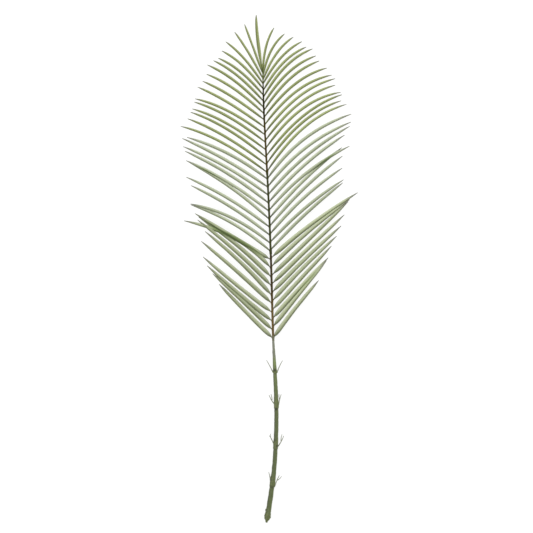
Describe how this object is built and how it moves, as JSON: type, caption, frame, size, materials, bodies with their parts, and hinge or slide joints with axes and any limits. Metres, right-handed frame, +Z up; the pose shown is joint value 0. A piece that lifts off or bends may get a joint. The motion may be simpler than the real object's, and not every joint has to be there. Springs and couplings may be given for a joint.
{
  "type": "areca palm frond",
  "caption": "Long palm frond lying flat: slim arched leaflets on both sides of one rachis, broad ones at its foot, on a jointed green stalk with thin forked spurs.",
  "frame": {"origin": "on the surface the frond lies on, under the middle of its box", "axes": "+Y along the frond towards its tip, +Z up out of the surface, towards the frond's upper face"},
  "size_m": [0.4188, 1.2, 0.0324],
  "materials": {
    "tip_leaflets": "satin yellow-green with fine parallel veins",
    "middle_leaflets": "satin sage green with fine parallel veins",
    "lower_leaflets": "satin mid green with fine parallel veins",
    "stalk": "satin dark green with fine lengthwise grain"
  },
  "bodies": {
    "root": {"tip_leaflets": "tip_leaflets", "middle_leaflets": "middle_leaflets", "lower_leaflets": "lower_leaflets", "stalk": "stalk"}
  },
  "joints": []
}
